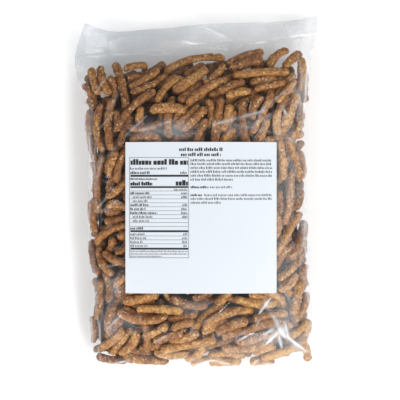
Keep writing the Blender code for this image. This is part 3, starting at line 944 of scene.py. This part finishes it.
def headerRipple(x, y, headerS):
    slow, steep = filmLook["ripples"]
    ripple = slow * np.sin(x / 0.0031 + y / 0.006) * np.sin(y / 0.0051 + 1)
    swing = 0.4 + 0.6 * np.sin(x / 0.027 + 2) ** 2
    ripple += steep * np.sin(x / 0.0062 - y / 0.0075 + 1.5 * np.sin(x / 0.021)) * swing
    return ripple * np.sin(math.pi * np.clip(headerS, 0, 1)) ** 0.5


def sheetHeights(a, x, y, headerS, flapS):
    # the upper and the lower sheet
    gap = filmLook["sheetGap"]
    topZ = np.maximum(readMap(*filmTop, x, y), foldHeight(y) + gap)
    bottomZ = np.maximum(bottomHeight(x, y) - gap, filmLook["floorGap"])
    ripple = filmLook["undersideRipple"] * np.sin(x / 0.004) * np.sin(y / 0.005)
    bottomZ = bottomZ + ripple * (bottomZ > 0.001)
    folds = (creaseHeight(x, y) + ringHeight(x, y)) * smoothStep(headerS, 0.0, 0.15)
    header = headerHeight(a, headerS) + headerRipple(x, y, headerS) + folds
    flap = flapHeight(a, flapS)
    topZ = np.where(headerS > 0, header + gap, np.where(flapS > 0, flap + gap, topZ))
    part = filmLook["parting"] * np.sin(math.pi * headerS) * (0.5 + 0.5 * np.sin(a * 7 + 1))
    bottomZ = np.where(headerS > 0, header - gap - part, np.where(flapS > 0, flap - gap, bottomZ))
    rim = np.abs(a) > 0.9999
    return topZ, np.where(rim, topZ - 2 * gap, np.minimum(bottomZ, topZ - 2 * gap))


def facetShare(x, y):
    total = np.zeros_like(x)
    for *place, strength in brightFacets:
        px, py, wide, tall = (mm * value for value in place)
        square = np.maximum(np.abs((x - px + 0.2 * (y - py)) / wide), np.abs((y - py) / tall))
        total = total + strength * smoothStep(square, *hazeAndSheenLook["facetEdge"])
    return total


def filmHazeAndSheen(a, x, y, headerS, flapS):
    # the film's own slight haze, then painted sheen, glare and highlights by place
    hazeAndSheen = hazeAndSheenLook["least"] + zoneSum(hazeAndSheenLook["paintedLightZones"], x, y) + eased(x - y, hazeAndSheenLook["corner"])
    hazeAndSheen = hazeAndSheen * (1 - eased(readMap(mapX, mapY, filmHollows, x, y), hazeAndSheenLook["clearer"]))
    hazeAndSheen = hazeAndSheen + eased(a, hazeAndSheenLook["rightRim"]) + edgeHazeAndSheen(a, y)
    hazeAndSheen = hazeAndSheen + eased(y - bagShape["bottomSealY"], hazeAndSheenLook["bottomSeal"])
    for *place, strength in paintedSheenPatches:
        px, py, wide, tall = (mm * value for value in place)
        hazeAndSheen = hazeAndSheen + strength * np.exp(-(((x - px) / wide) ** 2 + ((y - py) / tall) ** 2))
    ends = np.where(headerS > 0, hazeAndSheenLook["header"] + eased(x, hazeAndSheenLook["headerRight"]), hazeAndSheenLook["flap"])
    hazeAndSheen = np.where((headerS == 0) & (flapS == 0), hazeAndSheen, ends) + facetShare(x, y)
    hazeAndSheen = hazeAndSheen + hazeAndSheenLook["crease"] * (creaseHeight(x, y) + ringHeight(x, y)) * (1 - labelShare(x, y))
    return hazeAndSheen + paintedGlints(x, y)


def filmTintAndShade(x, y, headerS, flapS):
    # painted shade: the header greyer than the clear film of the body
    header = tintAndShadeLook["header"] + eased(x, tintAndShadeLook["middle"]) + eased(x, tintAndShadeLook["right"])
    strength, heights, places = tintAndShadeLook["freeEdge"]
    header = header - strength * smoothStep(headerS, *heights) * smoothStep(x, *places)
    body = tintAndShadeLook["body"]
    body = body - (body - header) * smoothStep(topSeal(x) - y, *tintAndShadeLook["nearSeal"])
    flap = tintAndShadeLook["flap"] + eased(x, tintAndShadeLook["flapRight"])
    tint = np.where(headerS > 0, header, np.where(flapS > 0, flap, body))
    # painted highlights: the film clears to white on the bright facets
    return tint + (1 - tint) * np.clip(tintAndShadeLook["facets"] * facetShare(x, y), 0, 1)


def filmShine(a, x, y, headerS):
    most, left, corner = filmLook["shine"]
    shine = most - (most - left) * smoothStep(x, 0.010, -0.040) * smoothStep(y, 0.020, -0.030)
    return shine - (most - corner) * smoothStep(a, -0.55, -0.72) * smoothStep(headerS, 0.05, 0.40)


def filmPiece(finish):
    a, x, y, headerS, flapS = filmGrid()
    topZ, bottomZ = sheetHeights(a, x, y, headerS, flapS)
    lower = slice(None, None, 2), slice(None, None, 2)
    points = np.concatenate([
        np.stack([x, y, topZ], -1).reshape(-1, 3),
        np.stack([x[lower], y[lower], bottomZ[lower]], -1).reshape(-1, 3),
    ])
    faces = np.concatenate([sheetQuads(x.shape, 0), sheetQuads(x[lower].shape, x.size)[:, ::-1]])
    piece = meshPiece("film", points, faces.tolist(), finish)
    hazeAndSheen = filmHazeAndSheen(a, x, y, headerS, flapS)
    tint, shine = filmTintAndShade(x, y, headerS, flapS), filmShine(a, x, y, headerS)
    share, limit = hazeAndSheenLook["below"]
    underHazeAndSheen = share * np.minimum(hazeAndSheen, limit)
    for name, upper, under in (("hazeAndSheen", hazeAndSheen, underHazeAndSheen), ("tint", tint, tint), ("shine", shine, shine)):
        setAttribute(piece, name, np.concatenate([upper.ravel(), under[lower].ravel()]))
    return piece


def filmMaterial():
    # thin clear film: see-through, glossy at a slant, with a slight milky haze and painted white sheen and
    # highlights, and painted shade in how much it lets through
    finish, nodes, shader = newMaterial("clear film")
    nodes.remove(shader)
    tint, hazeAndSheen, shine = [
        addNode(nodes, "ShaderNodeAttribute", attribute_name=name) for name in ("tint", "hazeAndSheen", "shine")
    ]
    clear = addNode(nodes, "ShaderNodeBsdfTransparent")
    grey = addNode(nodes, "ShaderNodeCombineColor")
    for channel, keep in filmLook["keeps"]:
        join(scaled(nodes, tint, "Fac", keep, 1 - keep), 0, grey, channel)
    join(grey, "Color", clear, "Color")
    milkAndSheen = addNode(nodes, "ShaderNodeBsdfDiffuse", {"Color": (*filmLook["milkAndSheen"], 1)})
    cloudRange = {"From Min": 0.35, "From Max": 0.68, "To Min": 0.3, "To Max": 1.7}
    spread = addNode(nodes, "ShaderNodeMapRange", cloudRange)
    join(noise(nodes, 42.0, 4.0, Distortion=0.6), "Fac", spread, "Value")
    amount = addNode(nodes, "ShaderNodeMath", operation="MULTIPLY")
    join(hazeAndSheen, "Fac", amount, 0)
    join(spread, "Result", amount, 1)
    veiled = addNode(nodes, "ShaderNodeMixShader")
    join(amount, 0, veiled, "Fac")
    join(clear, 0, veiled, 1)
    join(milkAndSheen, 0, veiled, 2)
    bump = addNode(nodes, "ShaderNodeBump", {"Strength": 0.25, "Distance": 0.0004})
    join(noise(nodes, 260.0, 3.0, Distortion=1.2), "Fac", bump, "Height")
    gloss = addNode(nodes, "ShaderNodeBsdfGlossy", {"Roughness": filmLook["roughness"]})
    gloss.inputs["Color"].default_value = (1, 1, 1, 1)
    join(bump, "Normal", gloss, "Normal")
    density = addNode(nodes, "ShaderNodeMapRange", {"To Min": filmLook["ior"], "To Max": 1 / filmLook["ior"]})
    sheet = addNode(nodes, "ShaderNodeNewGeometry")
    join(sheet, "Backfacing", density, "Value")  # a thin sheet mirrors alike from both sides
    slant = addNode(nodes, "ShaderNodeFresnel")
    join(density, "Result", slant, "IOR")
    join(bump, "Normal", slant, "Normal")
    mirrored = addNode(nodes, "ShaderNodeMath", operation="MULTIPLY", use_clamp=True)
    join(slant, 0, mirrored, 0)
    join(shine, "Fac", mirrored, 1)
    whole = addNode(nodes, "ShaderNodeMixShader")
    join(mirrored, 0, whole, "Fac")
    join(veiled, 0, whole, 1)
    join(gloss, 0, whole, 2)
    join(whole, 0, nodes["Material Output"], "Surface")
    return finish


film = filmPiece(filmMaterial())
print("film made", len(film.data.polygons), "faces")

# The label's paper, and its print of plain blocks

paperLook = {
    "tints": [(0.35, (0.735, 0.785, 0.845)), (0.65, (0.765, 0.810, 0.865))],
    "bump": {"Strength": 0.08, "Distance": 0.0001},
    "roughness": 0.5,
}


def paperMaterial():
    finish, nodes, shader = newMaterial("label paper")
    tint = colourRamp(nodes, paperLook["tints"])
    join(noise(nodes, 14.0, 1.0), "Fac", tint, "Fac")
    join(tint, "Color", shader, "Base Color")
    bump = addNode(nodes, "ShaderNodeBump", paperLook["bump"])
    join(noise(nodes, 900.0, 3.0), "Fac", bump, "Height")
    join(bump, "Normal", shader, "Normal")
    shader.inputs["Roughness"].default_value = paperLook["roughness"]
    return finish


frameLabel = bpy.data.objects["label"]
frameLabel.data.materials.clear()
frameLabel.data.materials.append(paperMaterial())

printLook = {
    "pixel": 0.1016 / 151.5,  # the unit of the two lists below, one photo pixel on the label, metres
    "corner": (126.0, 142.0),  # the label's upper left corner, in that unit
    "lift": 0.00012,  # ink above the paper, so that it never dips under it
    "seed": 11,
    "run": (3.0, 9.0),  # least and most length of a run of blocks
    "runHeight": 2.3,  # height of the print that has runs of that length
    "blockWidth": (0.38, 0.62),  # as a share of the print's height, as are the next two
    "blockHeights": [0.70, 0.74, 1.0],
    "space": 0.30,
    "bold": (0.15, 0.83, 0.07),  # least ink, ink added and gap lost as the weight goes from 0 to 1
    "patch": 5,  # longest side of one patch of ink
    "inks": [(0.3, (0.008, 0.008, 0.010)), (0.75, (0.032, 0.032, 0.038))],
}
# Rules and frames: x0, y0, x1, y1
rules = [
    (130.0, 157.4, 189.5, 157.7), (130.0, 257.6, 189.5, 257.9),
    (130.0, 157.4, 130.3, 257.9), (189.2, 157.4, 189.5, 257.9),
    (131.0, 174.9, 188.9, 176.8), (131.0, 186.3, 188.9, 188.0),
    (131.0, 230.3, 188.9, 232.2), (131.0, 247.8, 188.9, 249.7),
] + [(131.0, 190.9 + 3.95 * n, 188.7, 191.15 + 3.95 * n) for n in range(10)] + [
    (131.0, 235.9 + 3.9 * n, 188.7, 236.15 + 3.9 * n) for n in range(3)
]
# Lines of print: x0, x1, y of the middle, height, weight of the ink, from 0 to 1
printLines = [
    (180.0, 223.7, 149.4, 3.4, 0.80), (181.6, 221.5, 154.5, 3.4, 0.80),
    (131.2, 188.6, 162.0, 5.6, 1.0),
    (130.8, 168.0, 168.5, 2.2, 0.5), (131.0, 151.0, 172.7, 2.5, 0.75), (181.0, 188.0, 172.7, 2.5, 0.6),
    (131.0, 158.0, 179.0, 1.8, 0.7), (131.0, 153.0, 183.6, 3.7, 1.0), (176.5, 188.6, 182.9, 5.4, 1.0),
    (175.0, 188.0, 189.7, 1.7, 0.55),
    (131.0, 150.0, 193.1, 2.3, 0.7), (182.0, 188.0, 193.1, 2.3, 0.6),
    (133.5, 152.0, 197.1, 2.3, 0.5), (182.0, 188.0, 197.1, 2.3, 0.6),
    (133.5, 148.0, 201.0, 2.3, 0.5),
    (131.0, 149.0, 204.9, 2.3, 0.7), (183.0, 188.0, 204.9, 2.3, 0.6),
    (131.0, 146.0, 208.9, 2.3, 0.7), (182.0, 188.0, 208.9, 2.3, 0.6),
    (131.0, 158.0, 212.9, 2.3, 0.7), (182.0, 188.0, 212.9, 2.3, 0.6),
    (133.5, 153.0, 216.8, 2.3, 0.5), (183.0, 188.0, 216.8, 2.3, 0.6),
    (133.5, 151.0, 220.8, 2.3, 0.5),
    (131.0, 144.0, 228.4, 2.3, 0.7),
    (131.0, 145.0, 234.2, 2.2, 0.5), (184.0, 188.0, 234.2, 2.2, 0.5),
    (131.0, 147.0, 238.1, 2.2, 0.5), (183.0, 188.0, 238.1, 2.2, 0.5),
    (131.0, 143.0, 242.0, 2.2, 0.5), (183.0, 188.0, 242.0, 2.2, 0.5),
    (131.0, 148.0, 245.8, 2.2, 0.5), (184.0, 188.0, 245.8, 2.2, 0.5),
    (131.0, 188.0, 251.3, 1.5, 0.45), (131.0, 188.0, 253.9, 1.5, 0.45), (131.0, 163.0, 256.3, 1.3, 0.45),
    (191.3, 273.0, 160.3, 2.3, 0.55), (191.3, 273.0, 163.9, 2.3, 0.55), (191.3, 273.0, 167.8, 2.3, 0.55),
    (191.3, 273.0, 171.7, 2.3, 0.55), (191.3, 273.0, 175.6, 2.3, 0.55), (191.3, 234.0, 179.5, 2.3, 0.55),
    (191.3, 209.0, 187.1, 2.3, 0.8), (211.0, 232.6, 187.1, 2.3, 0.5),
    (191.3, 203.0, 195.0, 2.3, 0.8), (205.0, 273.0, 195.0, 2.3, 0.5),
    (191.3, 273.0, 198.7, 2.3, 0.5), (191.3, 221.6, 202.6, 2.3, 0.5),
]


def labelPlace(px, py):
    x = labelShape["centre"][0] - labelShape["side"] / 2 + (px - printLook["corner"][0]) * printLook["pixel"]
    y = labelShape["centre"][1] + labelShape["side"] / 2 - (py - printLook["corner"][1]) * printLook["pixel"]
    return x, y


def inkBlocks():
    # every block is one small patch of ink, and a line is made of runs of narrow blocks of uneven height
    draw = np.random.default_rng(printLook["seed"])
    least, added, lost = printLook["bold"]
    blocks = list(rules)
    for x, x1, middle, height, weight in printLines:
        foot = middle + height / 2
        runEnd = x + draw.uniform(*printLook["run"]) * height / printLook["runHeight"]
        while x < x1 - 0.3:
            wide = height * draw.uniform(*printLook["blockWidth"])
            tall = height * draw.choice(printLook["blockHeights"])
            blocks.append((x, foot - tall, min(x + wide * (least + added * weight), x1), foot))
            x += wide + height * (least - lost * weight)
            if x > runEnd:
                x += height * printLook["space"]
                runEnd = x + draw.uniform(*printLook["run"]) * height / printLook["runHeight"]
    return blocks


def printPiece():
    points, faces = [], []
    for x0, y0, x1, y1 in inkBlocks():
        cuts = max(1, int(math.ceil((x1 - x0) / printLook["patch"])))
        downs = max(1, int(math.ceil((y1 - y0) / printLook["patch"])))
        start = len(points)
        for j in range(downs + 1):
            for i in range(cuts + 1):
                x, y = labelPlace(x0 + (x1 - x0) * i / cuts, y0 + (y1 - y0) * j / downs)
                z = float(topHeight(np.array(x), np.array(y))) + labelShape["top"] + printLook["lift"]
                points.append((x, y, z))
        for j in range(downs):
            for i in range(cuts):
                at = start + j * (cuts + 1) + i
                faces.append((at, at + cuts + 1, at + cuts + 2, at + 1))
    finish, nodes, shader = newMaterial("printed ink")
    tint = colourRamp(nodes, printLook["inks"])
    join(noise(nodes, 1500.0, 2.0), "Fac", tint, "Fac")
    join(tint, "Color", shader, "Base Color")
    shader.inputs["Roughness"].default_value = 0.6
    return meshPiece("label_print", points, faces, finish, smooth=False)


ink = printPiece()
print("label printed", len(ink.data.polygons), "patches")

# Every piece belongs to the one body, and the film and its contents stand for the solid bag

for piece in (film, outerPiece, innerPiece, corePiece, ink):
    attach(piece, "root")
for piece in (film, outerPiece, innerPiece, corePiece):
    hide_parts("bag")

# Floor, light and camera

studio = {
    "floorHalf": 1.6,
    "floorColour": (0.98, 0.98, 0.98),
    "floorGlow": 0.15,  # a faintly lit table, so that shadows on it stay pale
    "world": 0.25,
    "worldColour": (0.97, 0.985, 1.0),
    "lamps": {  # place, power and side of each soft square lamp
        "left": ((-0.80, -0.70, 0.85), 10.0, 0.90),
        "right": ((0.86, 0.05, 0.92), 7.5, 0.90),
        "front": ((0.30, -1.05, 0.68), 3.2, 0.60),
        "glint": ((0.52, -0.82, 0.92), 4.4, 0.26),
    },
}
view = {
    "aim": (0.0027, -0.0007),  # what the photo's middle looks at, metres
    "labelHeight": 0.040,
    "distance": 0.85,  # above the label
    "wide": 400 * 0.1016 / 151.5,  # metres across the photo at the label's height
}


def floorPiece():
    finish, nodes, shader = newMaterial("pale floor")
    shader.inputs["Base Color"].default_value = (*studio["floorColour"], 1)
    shader.inputs["Roughness"].default_value = 0.9
    shader.inputs["Emission Color"].default_value = (1, 1, 1, 1)
    shader.inputs["Emission Strength"].default_value = studio["floorGlow"]
    half = studio["floorHalf"]
    corners = [(-half, -half, 0), (half, -half, 0), (half, half, 0), (-half, half, 0)]
    return meshPiece("floor", corners, [(0, 1, 2, 3)], finish, smooth=False)


def softLight(name, place, power, size):
    lamp = bpy.data.lights.new(name, "AREA")
    lamp.shape = "SQUARE"
    lamp.size = size
    lamp.energy = power
    lightObject = bpy.data.objects.new(name, lamp)
    lightObject.location = place
    toward = -np.array(place)
    yaw = math.atan2(toward[1], toward[0])
    pitch = math.atan2(math.hypot(toward[0], toward[1]), -toward[2])
    lightObject.rotation_euler = (pitch, 0, yaw - math.pi / 2)
    bpy.context.scene.collection.objects.link(lightObject)


floorPiece()
for name, (place, power, size) in studio["lamps"].items():
    softLight(name, place, power, size)
world = bpy.data.worlds.new("studio")
world.use_nodes = True
background = world.node_tree.nodes["Background"]
background.inputs["Color"].default_value = (*studio["worldColour"], 1)
background.inputs["Strength"].default_value = studio["world"]
bpy.context.scene.world = world
bpy.context.scene.view_settings.view_transform = "Standard"

camera = bpy.data.cameras.new("camera")
camera.lens = camera.sensor_width * view["distance"] / view["wide"]
camera.clip_start = 0.01
cameraObject = bpy.data.objects.new("camera", camera)
cameraObject.location = (*view["aim"], view["labelHeight"] + view["distance"])
bpy.context.scene.collection.objects.link(cameraObject)
bpy.context.scene.camera = cameraObject
print("stage set")
